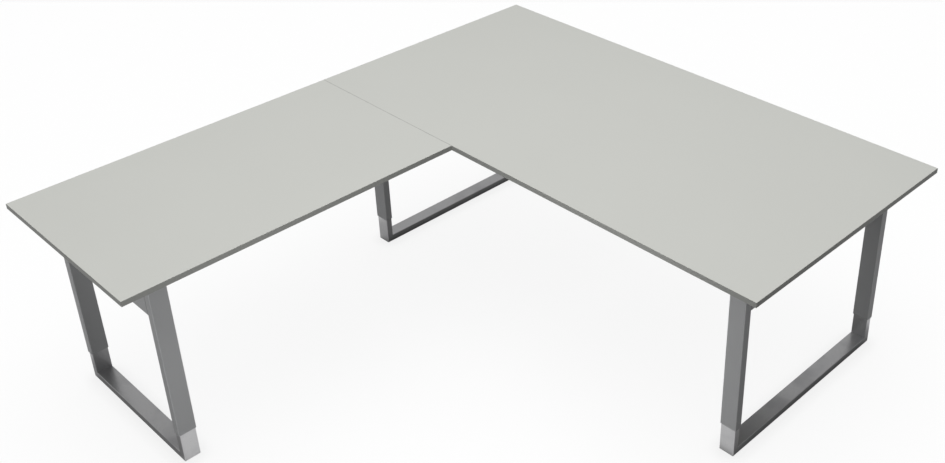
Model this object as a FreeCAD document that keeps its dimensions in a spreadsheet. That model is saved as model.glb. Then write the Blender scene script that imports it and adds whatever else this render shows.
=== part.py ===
import FreeCAD, Part
import math
import os
from types import SimpleNamespace

import Sketcher
from FreeCAD import Placement, Rotation, Vector

# An L-shaped office desk: a main worktop and a return on three telescopic sled frames.
# Frame: +Z up, X along the main worktop, origin on the floor under the middle of the L's box.
# All sizes are millimetres.
SIZES = {
    # Worktops
    "top_height": 720,
    "top_thickness": 18,
    "band_thickness": 1,
    "band_edge_radius": 0.6,
    "main_length": 2000,
    "main_depth": 1000,
    "return_length": 1200,
    "return_width": 730,
    # Places of the three leg frames
    "main_frame_length": 796,
    "main_frame_front_inset": 106,
    "main_frame_end_inset": 104,
    "return_frame_length": 596,
    "return_frame_end_inset": 105,
    # Upper frames: leg sleeves, cross rail and mounting plates
    "sleeve_width": 60,
    "sleeve_depth": 30,
    "sleeve_wall": 1.5,
    "sleeve_floor_height": 110,
    "tube_corner_radius": 3,
    "tube_bore_radius": 1.5,
    "rail_height": 135,
    "rail_wall": 2,
    "plate_thickness": 4,
    "plate_length": 110,
    "plate_overhang": 30,
    "plate_corner_radius": 6,
    # Sleds: two posts that slide in the sleeves and a floor runner, mitred together
    "slide_gap": 1,
    "running_clearance": 0.1,
    "post_wall": 1.5,
    "post_corner_radius": 2,
    "post_bore_radius": 1,
    "post_top_height": 520,
    "runner_floor_gap": 3,
    "mitre_overrun": 5,
    "bush_height": 40,
    "plug_head_height": 6,
    "plug_spigot_length": 25,
    # Levelling glides
    "glide_diameter": 32,
    "glide_edge": 1,
    "glide_end_inset": 50,
    "stud_diameter": 8,
    "stud_headroom": 1.5,
    "glide_nut_width": 13,
    "glide_nut_height": 6,
    # Beams under the worktops
    "beam_width": 30,
    "beam_height": 60,
    "beam_wall": 2,
    "main_beam_spread": 480,
    "return_beam_spread": 240,
    "end_plate_thickness": 5,
    "end_plate_wing": 22,
    "tab_length": 110,
    "tab_width": 40,
    "main_tab_spread": 700,
    "seam_plate_length": 140,
    "seam_plate_width": 60,
    "seam_plate_spread": 480,
    # Fasteners
    "hole_clearance": 0.6,
    "thread_clearance": 0.1,
    "bolt_diameter": 8,
    "bolt_length": 17,
    "bolt_head_width": 13,
    "bolt_head_height": 5.3,
    "bolt_nut_height": 6.5,
    "screw_diameter": 4,
    "screw_tip_cover": 6,
    "screw_head_diameter": 9,
    "screw_head_height": 3,
    "screw_edge_inset": 15,
    "pilot_hole_cover": 5,
    "clamp_screw_diameter": 8,
    "clamp_screw_above_bush": 20,
    "clamp_screw_spacing": 60,
    "clamp_screw_stand": 3,
    "clamp_socket_width": 4,
    "clamp_socket_depth": 4,
    "clamp_boss_diameter": 14,
    "clamp_boss_height": 8,
}

doc = FreeCAD.newDocument("Desk")
sheet = doc.addObject("Spreadsheet::Sheet", "Sizes")
for row, (alias, number) in enumerate(SIZES.items(), start=1):
    sheet.set(f"A{row}", alias)
    sheet.set(f"B{row}", str(number))
    sheet.setAlias(f"B{row}", alias)
doc.recompute()


class Size:
    """A length worked out from the sheet's cells: its expression and its present value."""

    def __init__(self, text, value):
        self.text = text
        self.value = value

    def combine(self, sign, other, value):
        return Size(f"({self.text} {sign} {as_size(other).text})", value)

    def __add__(self, other):
        return self.combine("+", other, self.value + as_size(other).value)

    def __sub__(self, other):
        return self.combine("-", other, self.value - as_size(other).value)

    def __mul__(self, other):
        return self.combine("*", other, self.value * as_size(other).value)

    def __truediv__(self, other):
        return self.combine("/", other, self.value / as_size(other).value)

    def __neg__(self):
        return Size(f"(0 - {self.text})", -self.value)


def as_size(number):
    """Take a plain number or a Size, and give a Size."""
    return number if isinstance(number, Size) else Size(str(number), number)


def bind(item, prop, size):
    """Tie one property of an object to the sheet."""
    item.setExpression(prop, as_size(size).text)


cell = SimpleNamespace(**{alias: Size(f"Sizes.{alias}", sheet.get(alias)) for alias in SIZES})

# Levels and sections that several pieces share
underside = cell.top_height - cell.top_thickness
plate_level = underside - cell.plate_thickness
bore_width = cell.sleeve_width - cell.sleeve_wall * 2
bore_depth = cell.sleeve_depth - cell.sleeve_wall * 2
post_width = bore_width - cell.slide_gap * 2
post_depth = bore_depth - cell.slide_gap * 2
sled_inset = cell.sleeve_wall + cell.slide_gap
plate_width = cell.sleeve_width + cell.plate_overhang * 2
end_plate_width = cell.beam_width + cell.end_plate_wing * 2
bolt_offset = (cell.beam_width + cell.end_plate_wing) / 2
bolt_hole = cell.bolt_diameter + cell.hole_clearance
screw_hole = cell.screw_diameter + cell.hole_clearance
beam_level = plate_level - cell.beam_height / 2
clamp_rise = cell.bush_height + cell.clamp_screw_above_bush

# Places in plan: the seam between the worktops, the beams and the middle of the return
seam = (cell.return_length - cell.main_depth) / 2
main_frame_front = seam + cell.main_frame_front_inset
main_frame_middle = main_frame_front + cell.main_frame_length / 2
front_beam_line = main_frame_middle - cell.main_beam_spread / 2
rear_beam_line = main_frame_middle + cell.main_beam_spread / 2
return_end = seam - cell.return_length
return_middle = cell.return_width / 2 - cell.main_length / 2
left_beam_line = return_middle - cell.return_beam_spread / 2
right_beam_line = return_middle + cell.return_beam_spread / 2


def place(item, x=0, y=0, z=0, turn=None):
    """Put an object at a point, after an optional Rotation."""
    item.Placement = Placement(Vector(0, 0, 0), turn or Rotation())
    for axis, size in zip("xyz", (x, y, z)):
        bind(item, f"Placement.Base.{axis}", size)
    return item


def about_z(degrees):
    return Rotation(Vector(0, 0, 1), degrees)


# Sketch helpers
def sketch_on(body, role, name):
    """Start a sketch on one of the body's own origin planes."""
    plane = next(item for item in body.Origin.OriginFeatures if item.Role == role)
    sketch = body.newObject("Sketcher::SketchObject", name)
    sketch.AttachmentSupport = [(plane, "")]
    sketch.MapMode = "FlatFace"
    return sketch


def pin(sketch, kind, geometry, point, size):
    """Hold a point at a signed distance from the sketch's origin, along DistanceX or DistanceY."""
    size = as_size(size)
    if size.value == 0:
        axis = -2 if kind == "DistanceX" else -1
        sketch.addConstraint(Sketcher.Constraint("PointOnObject", geometry, point, axis))
        return
    ends = (-1, 1, geometry, point) if size.value > 0 else (geometry, point, -1, 1)
    shown = size if size.value > 0 else -size
    index = sketch.addConstraint(Sketcher.Constraint(kind, *ends, shown.value))
    bind(sketch, f"Constraints[{index}]", shown)


def polygon(sketch, points):
    """Draw a closed outline of straight lines whose corners are all tied to the sheet."""
    corners = [Vector(as_size(x).value, as_size(y).value, 0) for x, y in points]
    first = sketch.GeometryCount
    for start, end in zip(corners, corners[1:] + corners[:1]):
        sketch.addGeometry(Part.LineSegment(start, end))
    for number, (x, y) in enumerate(points):
        before = first + (number - 1) % len(points)
        sketch.addConstraint(Sketcher.Constraint("Coincident", before, 2, first + number, 1))
        pin(sketch, "DistanceX", first + number, 1, x)
        pin(sketch, "DistanceY", first + number, 1, y)


def rectangle(sketch, width, height):
    """Draw a sharp-cornered rectangle round the sketch's origin."""
    right, top = width / 2, height / 2
    polygon(sketch, [(right, top), (-right, top), (-right, -top), (right, -top)])


def rounded_rectangle(sketch, width, height, radius):
    """Draw a rectangle with round corners, centred on the sketch's origin."""
    first = sketch.GeometryCount
    reach = (width.value / 2 - radius.value, height.value / 2 - radius.value)
    signs = [(1, 1), (-1, 1), (-1, -1), (1, -1)]
    arcs = []
    for quarter, (side, rise) in enumerate(signs):
        centre = Vector(side * reach[0], rise * reach[1], 0)
        circle = Part.Circle(centre, Vector(0, 0, 1), radius.value)
        arcs.append(Part.ArcOfCircle(circle, quarter * math.pi / 2, (quarter + 1) * math.pi / 2))
    for arc in arcs:
        sketch.addGeometry(arc)
    for arc, following in zip(arcs, arcs[1:] + arcs[:1]):
        sketch.addGeometry(Part.LineSegment(arc.EndPoint, following.StartPoint))
    for quarter in range(4):
        line = first + 4 + quarter
        sketch.addConstraint(Sketcher.Constraint("Tangent", first + quarter, 2, line, 1))
        sketch.addConstraint(Sketcher.Constraint("Tangent", line, 2, first + (quarter + 1) % 4, 1))
        level = "Horizontal" if quarter % 2 == 0 else "Vertical"
        sketch.addConstraint(Sketcher.Constraint(level, line))
    for quarter in range(1, 4):
        sketch.addConstraint(Sketcher.Constraint("Equal", first, first + quarter))
    sketch.addConstraint(Sketcher.Constraint("Symmetric", first, 3, first + 2, 3, -1, 1))
    rules = [
        (Sketcher.Constraint("Radius", first, radius.value), radius),
        (Sketcher.Constraint("DistanceX", first + 5, 1, first + 7, 1, width.value), width),
        (Sketcher.Constraint("DistanceY", first + 6, 1, first + 4, 1, height.value), height),
    ]
    for rule, size in rules:
        index = sketch.addConstraint(rule)
        bind(sketch, f"Constraints[{index}]", size)


def circles(sketch, spots, diameter):
    """Draw one circle at each spot."""
    for x, y in spots:
        middle = Vector(as_size(x).value, as_size(y).value, 0)
        number = sketch.addGeometry(Part.Circle(middle, Vector(0, 0, 1), diameter.value / 2))
        index = sketch.addConstraint(Sketcher.Constraint("Diameter", number, diameter.value))
        bind(sketch, f"Constraints[{index}]", diameter)
        pin(sketch, "DistanceX", number, 3, x)
        pin(sketch, "DistanceY", number, 3, y)


# Feature helpers
def new_body(name):
    return doc.addObject("PartDesign::Body", name)


def pad(body, sketch, length, side="One side", reverse=False):
    """Raise a sketch into a solid."""
    feature = body.newObject("PartDesign::Pad", f"{sketch.Name}_pad")
    feature.Profile = sketch
    feature.SideType = side
    feature.Reversed = reverse
    bind(feature, "Length", length)
    sketch.Visibility = False
    doc.recompute()
    return feature


def cut_through(body, sketch, side="One side", reverse=False):
    """Cut a sketch through all that lies on one side of it, or on both, and see that it cut."""
    before = body.Shape.Volume
    feature = body.newObject("PartDesign::Pocket", f"{sketch.Name}_pocket")
    feature.Profile = sketch
    feature.Type = "ThroughAll"
    feature.SideType = side
    feature.Reversed = reverse
    doc.recompute()
    if body.Shape.Volume >= before:
        raise RuntimeError(f"{feature.Name} cut nothing")
    return feature


def revolve(name, points):
    """Turn an outline, drawn as radius and height, round the Z axis."""
    body = new_body(name)
    sketch = sketch_on(body, "XZ_Plane", f"{name}_outline")
    polygon(sketch, points)
    feature = body.newObject("PartDesign::Revolution", f"{name}_turned")
    feature.Profile = sketch
    feature.ReferenceAxis = (sketch, ["V_Axis"])
    feature.Angle = 360
    doc.recompute()
    return body


def tube_upright(name, width, depth, radius, bore, bore_radius, length):
    """Make a rectangular tube that stands on its own origin."""
    body = new_body(name)
    sketch = sketch_on(body, "XY_Plane", f"{name}_section")
    rounded_rectangle(sketch, width, depth, radius)
    rounded_rectangle(sketch, *bore, bore_radius)
    pad(body, sketch, length)
    return body


def tube_level(name, width, height, radius, wall, bore_radius, length):
    """Make a rectangular tube that lies along Y, centred on its own origin."""
    body = new_body(name)
    sketch = sketch_on(body, "XZ_Plane", f"{name}_section")
    rounded_rectangle(sketch, width, height, radius)
    rounded_rectangle(sketch, width - wall * 2, height - wall * 2, bore_radius)
    pad(body, sketch, length, side="Symmetric")
    return body


def flat_plate(name, width, length, holes):
    """Make a flat steel plate that lies on its own origin, with screw holes."""
    body = new_body(name)
    outline = sketch_on(body, "XY_Plane", f"{name}_outline")
    rounded_rectangle(outline, width, length, cell.plate_corner_radius)
    circles(outline, holes, screw_hole)
    pad(body, outline, cell.plate_thickness)
    return body


def cylinder(name, diameter, height, z=0):
    rod = doc.addObject("Part::Cylinder", name)
    bind(rod, "Radius", diameter / 2)
    bind(rod, "Height", height)
    return place(rod, z=z)


def prism(name, corners, across_flats, height, z=0):
    """Make a square or hexagonal block of a given width across its flats."""
    block = doc.addObject("Part::Prism", name)
    block.Polygon = corners
    bind(block, "Circumradius", across_flats / (2 * math.cos(math.pi / corners)))
    bind(block, "Height", height)
    return place(block, z=z)


def combine(kind, name, base, tool):
    """Join or cut two solids with a boolean of the given kind."""
    item = doc.addObject(kind, name)
    item.Base = base
    item.Tool = tool
    doc.recompute()
    return item


def copies(name, original, spots):
    """Repeat one piece at each spot, given as x, y, z and a Rotation, as a group of solids."""
    links = []
    for number, (x, y, z, turn) in enumerate(spots, start=1):
        link = doc.addObject("App::Link", f"{name}_{number}")
        link.LinkedObject = original
        links.append(place(link, x, y, z, turn))
    group = doc.addObject("Part::Compound", name)
    group.Links = links
    return group


class Frame:
    """A leg frame: the name, ends and beams of its portal, and how it stands in plan.

    Its own axes are: across (towards the outer face), along (from the first leg to the second)
    and up. The point x, y is the middle of the first leg's outer side. The beam side is the side
    across on which beams meet the rail, and the clamp side the side along that the clamps are on.
    """

    def __init__(self, name, ends, x, y, length, degrees, beam_side, beam_spread, clamp_side):
        self.name = name
        self.ends = ends
        self.x = x
        self.y = y
        self.length = length
        self.degrees = degrees
        self.turn = about_z(degrees)
        self.beam_side = beam_side
        self.beam_spread = beam_spread
        self.clamp_side = clamp_side

    def spot(self, across, along, z, turn=None):
        """Give the place in the desk of a point of this frame, with the frame's turn."""
        across, along = as_size(across), as_size(along)
        turn = self.turn * (turn or Rotation())
        if self.degrees == 0:
            return self.x + across, self.y + along, z, turn
        return self.x + along, self.y - across, z, turn

    def both_ends(self, inset):
        """Give the two distances along the frame that lie this far in from its ends."""
        return inset, self.length - inset


main_frame_side = cell.main_length / 2 - cell.main_frame_end_inset - cell.sleeve_width / 2
return_frame_start = return_middle - cell.return_frame_length / 2
return_frame_line = return_end + cell.return_frame_end_inset + cell.sleeve_width / 2

FRAMES = [
    Frame("right", ("front", "rear"), main_frame_side, main_frame_front, cell.main_frame_length,
          0, -1, cell.main_beam_spread, 1),
    Frame("middle", ("front", "rear"), -main_frame_side, main_frame_front, cell.main_frame_length,
          0, 1, cell.main_beam_spread, 1),
    Frame("return", ("left", "right"), return_frame_start, return_frame_line,
          cell.return_frame_length, -90, -1, cell.return_beam_spread, -1),
]


# Upper frames
def make_sleeve(name, clamp_side):
    """The outer leg tube, with two clamp holes low on one of its wide walls."""
    body = tube_upright(name, cell.sleeve_width, cell.sleeve_depth, cell.tube_corner_radius,
                        (bore_width, bore_depth), cell.tube_bore_radius,
                        plate_level - cell.sleeve_floor_height)
    holes = sketch_on(body, "XZ_Plane", f"{name}_clamp_holes")
    circles(holes, [(0, clamp_rise), (0, clamp_rise + cell.clamp_screw_spacing)],
            cell.clamp_screw_diameter + cell.hole_clearance)
    cut_through(body, holes, reverse=clamp_side < 0)
    return body


def make_cross_rail(frame):
    """The deep box rail between the sleeves, with bolt holes where the beams meet it."""
    name = f"{frame.name}_cross_rail"
    body = tube_level(name, cell.sleeve_width, cell.rail_height, cell.tube_corner_radius,
                      cell.rail_wall, cell.tube_bore_radius, frame.length - cell.sleeve_depth * 2)
    rise = (cell.rail_height - cell.beam_height) / 2
    reach = frame.beam_spread / 2
    spots = [(line + side, rise) for line in (-reach, reach) for side in (-bolt_offset, bolt_offset)]
    holes = sketch_on(body, "YZ_Plane", f"{name}_bolt_holes")
    circles(holes, spots, bolt_hole)
    cut_through(body, holes, reverse=frame.beam_side > 0)
    return place(body, *frame.spot(0, frame.length / 2, plate_level - cell.rail_height / 2))


def make_mounting_plate(name):
    """The plate that closes a sleeve's top and is screwed to the worktop on both sides."""
    side = plate_width / 2 - cell.screw_edge_inset
    return flat_plate(name, plate_width, cell.plate_length, [(side, 0), (-side, 0)])


def make_guide_bush():
    """The plastic liner in a sleeve's mouth, which the post slides in."""
    return tube_upright("guide_bush", bore_width, bore_depth, cell.tube_bore_radius,
                        (post_width + cell.running_clearance * 2,
                         post_depth + cell.running_clearance * 2),
                        cell.post_corner_radius + cell.running_clearance, cell.bush_height)


def make_upper_frame(frame, bush):
    """Place one frame's sleeves, cross rail, mounting plates and bushes."""
    nodes = [make_cross_rail(frame)]
    sleeve_lines = frame.both_ends(cell.sleeve_depth / 2)
    plate_lines = frame.both_ends(cell.plate_length / 2)
    for end, sleeve_line, plate_line in zip(frame.ends, sleeve_lines, plate_lines):
        sleeve = make_sleeve(f"{frame.name}_{end}_sleeve", frame.clamp_side)
        nodes.append(place(sleeve, *frame.spot(0, sleeve_line, cell.sleeve_floor_height)))
        plate = make_mounting_plate(f"{frame.name}_{end}_mounting_plate")
        nodes.append(place(plate, *frame.spot(0, plate_line, plate_level)))
    spots = [frame.spot(0, line, cell.sleeve_floor_height) for line in sleeve_lines]
    nodes.append(copies(f"{frame.name}_guide_bushes", bush, spots))
    return nodes


# Sleds
def make_post(name):
    """The chromed inner leg, mitred at 45 degrees at its foot, towards the runner on +Y."""
    body = tube_upright(name, post_width, post_depth, cell.post_corner_radius,
                        (post_width - cell.post_wall * 2, post_depth - cell.post_wall * 2),
                        cell.post_bore_radius, cell.post_top_height - cell.runner_floor_gap)
    mitre = sketch_on(body, "YZ_Plane", f"{name}_mitre")
    spare = cell.mitre_overrun
    outer, inner = -(post_depth / 2 + spare), post_depth / 2 + spare
    polygon(mitre, [(inner, -spare), (inner, post_depth + spare), (outer, -spare)])
    cut_through(body, mitre, side="Symmetric")
    return body


def make_runner(frame):
    """The floor bar, mitred at both ends, with holes for the glides in its underside."""
    name = f"{frame.name}_runner"
    length = frame.length - sled_inset * 2
    body = tube_level(name, post_width, post_depth, cell.post_corner_radius, cell.post_wall,
                      cell.post_bore_radius, length)
    spare = cell.mitre_overrun
    top, foot = post_depth / 2 + spare, -(post_depth / 2 + spare)
    tip, heel = length / 2 + spare, length / 2 - post_depth - spare
    mitres = sketch_on(body, "YZ_Plane", f"{name}_mitres")
    polygon(mitres, [(tip, top), (heel, top), (tip, foot)])
    polygon(mitres, [(-tip, top), (-tip, foot), (-heel, top)])
    cut_through(body, mitres, side="Symmetric")
    reach = frame.length / 2 - cell.glide_end_inset
    holes = sketch_on(body, "XY_Plane", f"{name}_glide_holes")
    circles(holes, [(0, reach), (0, -reach)], cell.stud_diameter + cell.hole_clearance)
    cut_through(body, holes)
    return place(body, *frame.spot(0, frame.length / 2, cell.runner_floor_gap + post_depth / 2))


def make_post_plug():
    """The plastic plug on a post's upper end: a head that slides in the sleeve, and a spigot."""
    body = new_body("post_plug")
    head = sketch_on(body, "XY_Plane", "post_plug_head")
    rounded_rectangle(head, bore_width - cell.running_clearance * 2,
                      bore_depth - cell.running_clearance * 2, cell.tube_bore_radius)
    pad(body, head, cell.plug_head_height)
    spigot = sketch_on(body, "XY_Plane", "post_plug_spigot")
    inside = (cell.post_wall + cell.running_clearance) * 2
    rounded_rectangle(spigot, post_width - inside, post_depth - inside, cell.post_bore_radius)
    pad(body, spigot, cell.plug_spigot_length, reverse=True)
    return body


def make_glide_nut():
    """The square nut welded inside the runner over a glide's hole."""
    block = prism("glide_nut_block", 4, cell.glide_nut_width, cell.glide_nut_height)
    bore = cylinder("glide_nut_bore", cell.stud_diameter + cell.thread_clearance,
                    cell.glide_nut_height)
    return combine("Part::Cut", "glide_nut", block, bore)


def make_glide(name):
    """A levelling foot: a disc with a bevelled rim, on a stud that ends under the runner's roof."""
    rim, stud = cell.glide_diameter / 2, cell.stud_diameter / 2
    top = cell.runner_floor_gap
    tip = top + post_depth - cell.post_wall - cell.stud_headroom
    return revolve(name, [(0, 0), (rim - cell.glide_edge, 0), (rim, cell.glide_edge), (rim, top),
                          (stud, top), (stud, tip), (0, tip)])


def make_sled(frame, plug, nut):
    """Place one sled's runner, posts, plugs, nuts and glides."""
    nodes = [make_runner(frame)]
    post_lines = frame.both_ends(cell.sleeve_depth / 2)
    glide_lines = frame.both_ends(cell.glide_end_inset)
    for end, line, glide_line, degrees in zip(frame.ends, post_lines, glide_lines, (0, 180)):
        post = make_post(f"{frame.name}_{end}_post")
        nodes.append(place(post, *frame.spot(0, line, cell.runner_floor_gap, about_z(degrees))))
        glide = make_glide(f"{frame.name}_{end}_glide")
        nodes.append(place(glide, *frame.spot(0, glide_line, 0)))
    plug_spots = [frame.spot(0, line, cell.post_top_height) for line in post_lines]
    nodes.append(copies(f"{frame.name}_post_plugs", plug, plug_spots))
    nut_level = cell.runner_floor_gap + cell.post_wall
    nut_spots = [frame.spot(0, line, nut_level, about_z(45)) for line in glide_lines]
    nodes.append(copies(f"{frame.name}_glide_nuts", nut, nut_spots))
    return nodes


# Beams
def make_beam(name, x, y, length, degrees, side_holes=()):
    """A tube with a plate welded on each end, which bolts to a rail or to another beam."""
    tube_length = length - cell.end_plate_thickness * 2
    body = tube_level(name, cell.beam_width, cell.beam_height, cell.tube_corner_radius,
                      cell.beam_wall, cell.tube_bore_radius, tube_length)
    for end, reverse in (("first", False), ("second", True)):
        plate = sketch_on(body, "XZ_Plane", f"{name}_{end}_end_plate")
        bind(plate, "AttachmentOffset.Base.z", tube_length / 2 * (-1 if reverse else 1))
        rounded_rectangle(plate, end_plate_width, cell.beam_height, cell.tube_corner_radius)
        circles(plate, [(bolt_offset, 0), (-bolt_offset, 0)], bolt_hole)
        pad(body, plate, cell.end_plate_thickness, reverse=reverse)
    if side_holes:
        holes = sketch_on(body, "YZ_Plane", f"{name}_side_holes")
        circles(holes, [(along, 0) for along in side_holes], bolt_hole)
        cut_through(body, holes)
    return place(body, x, y, beam_level, about_z(degrees))


def make_beams():
    """Two beams between the main frames, and two that carry the return to the front one."""
    main_span = (main_frame_side - cell.sleeve_width / 2) * 2
    return_start = return_frame_line + cell.sleeve_width / 2
    return_finish = front_beam_line - cell.beam_width / 2
    return_span = return_finish - return_start
    return_centre = (return_finish + return_start) / 2
    joints = [line + side for line in (left_beam_line, right_beam_line)
              for side in (-bolt_offset, bolt_offset)]
    along = [-joint for joint in joints]
    return [
        make_beam("main_front_beam", 0, front_beam_line, main_span, 90, along),
        make_beam("main_rear_beam", 0, rear_beam_line, main_span, 90),
        make_beam("return_left_beam", left_beam_line, return_centre, return_span, 0),
        make_beam("return_right_beam", right_beam_line, return_centre, return_span, 0),
    ]


# Plates between the beams, the seam and the worktops
def tab_spots():
    """Where the beams carry the worktops: on the main beams and on the return beams."""
    reach = cell.main_tab_spread / 2
    main = [(x, y, plate_level, about_z(90)) for y in (front_beam_line, rear_beam_line)
            for x in (-reach, reach)]
    middle = return_end + cell.return_length / 2
    side = [(x, middle, plate_level, Rotation()) for x in (left_beam_line, right_beam_line)]
    return main, side


def make_tabs():
    reach = cell.tab_length / 2 - cell.screw_edge_inset
    tab = flat_plate("beam_tab", cell.tab_length, cell.tab_width, [(reach, 0), (-reach, 0)])
    main, side = tab_spots()
    return [copies("main_beam_tabs", tab, main), copies("return_beam_tabs", tab, side)]


def seam_plate_lines():
    reach = cell.seam_plate_spread / 2
    return (("left", return_middle - reach), ("right", return_middle + reach))


def seam_plate_holes():
    """Two screws on each side of the seam."""
    side = cell.seam_plate_width / 2 - cell.screw_edge_inset
    reach = cell.seam_plate_length / 2 - cell.screw_edge_inset
    return [(side, reach), (side, -reach), (-side, reach), (-side, -reach)]


def make_seam_plates():
    nodes = []
    for end, x in seam_plate_lines():
        plate = flat_plate(f"{end}_seam_plate", cell.seam_plate_width, cell.seam_plate_length,
                           seam_plate_holes())
        nodes.append(place(plate, x, seam, plate_level))
    return nodes


# Fasteners
def screw_spots():
    """Every wood screw's place in plan: those in the main worktop, and those in the return."""
    main, side = [], []
    reach = plate_width / 2 - cell.screw_edge_inset
    for frame in FRAMES:
        top = side if frame.name == "return" else main
        for line in frame.both_ends(cell.plate_length / 2):
            top += [frame.spot(across, line, plate_level)[:2] for across in (-reach, reach)]
    reach = cell.tab_length / 2 - cell.screw_edge_inset
    main_tabs, return_tabs = tab_spots()
    main += [(x, y + step) for x, y, _, _ in main_tabs for step in (-reach, reach)]
    side += [(x + step, y) for x, y, _, _ in return_tabs for step in (-reach, reach)]
    for _, x in seam_plate_lines():
        for step, along in seam_plate_holes():
            top = main if along.value > 0 else side
            top.append((x + step, seam + along))
    return main, side


def make_top_screws():
    """The wood screws that hold the worktops down on the plates and tabs."""
    shank, head = cell.screw_diameter / 2, cell.screw_head_diameter / 2
    tip = cell.plate_thickness + cell.top_thickness - cell.screw_tip_cover
    screw = revolve("wood_screw", [(0, -cell.screw_head_height), (head, -cell.screw_head_height),
                                   (head, 0), (shank, 0), (shank, tip), (0, tip)])
    main, side = screw_spots()
    return copies("top_screws", screw, [(x, y, plate_level, Rotation()) for x, y in main + side])


def bolt_spots(rail_depth, beam_depth):
    """Give a spot on each beam bolt's axis, with the turn that points it into its joint.

    A spot lies this deep in the joint, counted from the wall's outer face: on a rail, or on the
    front beam where the return's beams meet it. A negative depth is outside the wall.
    """
    spots = []
    main_face = main_frame_side - cell.sleeve_width / 2 + rail_depth
    frame_face = return_frame_line + cell.sleeve_width / 2 - rail_depth
    beam_face = front_beam_line - cell.beam_width / 2 + beam_depth
    for step in (-bolt_offset, bolt_offset):
        for y in (front_beam_line + step, rear_beam_line + step):
            spots.append((main_face, y, beam_level, Rotation(Vector(0, 1, 0), 90)))
            spots.append((-main_face, y, beam_level, Rotation(Vector(0, 1, 0), -90)))
        for x in (left_beam_line + step, right_beam_line + step):
            spots.append((x, frame_face, beam_level, Rotation(Vector(1, 0, 0), 90)))
            spots.append((x, beam_face, beam_level, Rotation(Vector(1, 0, 0), -90)))
    return spots


def make_beam_bolts():
    """Hexagon bolts, each with a nut welded inside the wall that it goes through."""
    head = prism("bolt_head", 6, cell.bolt_head_width, cell.bolt_head_height,
                 z=-cell.bolt_head_height)
    shank = cylinder("bolt_shank", cell.bolt_diameter, cell.bolt_length)
    bolt = combine("Part::Fuse", "beam_bolt", head, shank)
    block = prism("bolt_nut_block", 6, cell.bolt_head_width, cell.bolt_nut_height)
    bore = cylinder("bolt_nut_bore", cell.bolt_diameter + cell.thread_clearance,
                    cell.bolt_nut_height)
    nut = combine("Part::Cut", "beam_nut", block, bore)
    seats = bolt_spots(-cell.end_plate_thickness, -cell.end_plate_thickness)
    return [copies("beam_bolts", bolt, seats),
            copies("beam_nuts", nut, bolt_spots(cell.rail_wall, cell.beam_wall))]


def clamp_spots():
    """Each clamp screw's place on its sleeve's wide wall, with its axis pointing outwards."""
    lower = cell.sleeve_floor_height + clamp_rise
    spots = []
    for frame in FRAMES:
        outwards = Rotation(Vector(1, 0, 0), -90 * frame.clamp_side)
        for line in frame.both_ends(cell.sleeve_depth / 2):
            wall = line + cell.sleeve_depth / 2 * frame.clamp_side
            spots += [frame.spot(0, wall, lower, outwards),
                      frame.spot(0, wall, lower + cell.clamp_screw_spacing, outwards)]
    return spots


def make_clamps():
    """Threaded bosses on the sleeves, and the socket screws in them that grip the posts."""
    block = cylinder("clamp_boss_block", cell.clamp_boss_diameter, cell.clamp_boss_height)
    bore = cylinder("clamp_boss_bore", cell.clamp_screw_diameter + cell.thread_clearance,
                    cell.clamp_boss_height)
    boss = combine("Part::Cut", "clamp_boss", block, bore)
    reach = cell.sleeve_wall + cell.slide_gap - cell.running_clearance
    outer_end = cell.clamp_boss_height + cell.clamp_screw_stand
    rod = cylinder("clamp_rod", cell.clamp_screw_diameter, outer_end + reach, z=-reach)
    socket = prism("clamp_socket", 6, cell.clamp_socket_width, cell.clamp_socket_depth,
                   z=outer_end - cell.clamp_socket_depth)
    screw = combine("Part::Cut", "clamp_screw", rod, socket)
    return [copies("clamp_bosses", boss, clamp_spots()), copies("clamp_screws", screw, clamp_spots())]


# Worktops
def make_board(name, length, width, x, y, spots):
    """A coated board inside its edge band, with pilot holes for the wood screws."""
    board = doc.addObject("Part::Box", f"{name}_blank")
    bind(board, "Length", length - cell.band_thickness * 2)
    bind(board, "Width", width - cell.band_thickness * 2)
    bind(board, "Height", cell.top_thickness)
    place(board, x + cell.band_thickness, y + cell.band_thickness, underside)
    drill = cylinder(f"{name}_drill", cell.screw_diameter + cell.thread_clearance,
                     cell.top_thickness - cell.pilot_hole_cover)
    holes = copies(f"{name}_pilot_holes", drill, [(hx, hy, underside, Rotation()) for hx, hy in spots])
    return combine("Part::Cut", name, board, holes)


def make_edge_band(name, length, width, x, y):
    """The band round a board's edge, with its outer rims rounded."""
    body = new_body(name)
    ring = sketch_on(body, "XY_Plane", f"{name}_ring")
    rectangle(ring, length, width)
    rectangle(ring, length - cell.band_thickness * 2, width - cell.band_thickness * 2)
    band = pad(body, ring, cell.top_thickness)
    rims = []
    for number, edge in enumerate(band.Shape.Edges, start=1):
        middle = edge.CenterOfMass
        upright = math.isclose(middle.z, cell.top_thickness.value / 2)
        at_end = math.isclose(abs(middle.x), length.value / 2)
        at_side = math.isclose(abs(middle.y), width.value / 2)
        if not upright and (at_end or at_side):
            rims.append(f"Edge{number}")
    fillet = body.newObject("PartDesign::Fillet", f"{name}_rims")
    fillet.Base = (band, rims)
    bind(fillet, "Radius", cell.band_edge_radius)
    doc.recompute()
    return place(body, x + length / 2, y + width / 2, underside)


def make_worktops():
    left = -cell.main_length / 2
    main_screws, return_screws = screw_spots()
    main = (cell.main_length, cell.main_depth, left, seam)
    side = (cell.return_width, cell.return_length, left, return_end)
    return [
        make_board("main_top_board", *main, main_screws),
        make_edge_band("main_top_edge_band", *main),
        make_board("return_top_board", *side, return_screws),
        make_edge_band("return_top_edge_band", *side),
    ]


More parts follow.
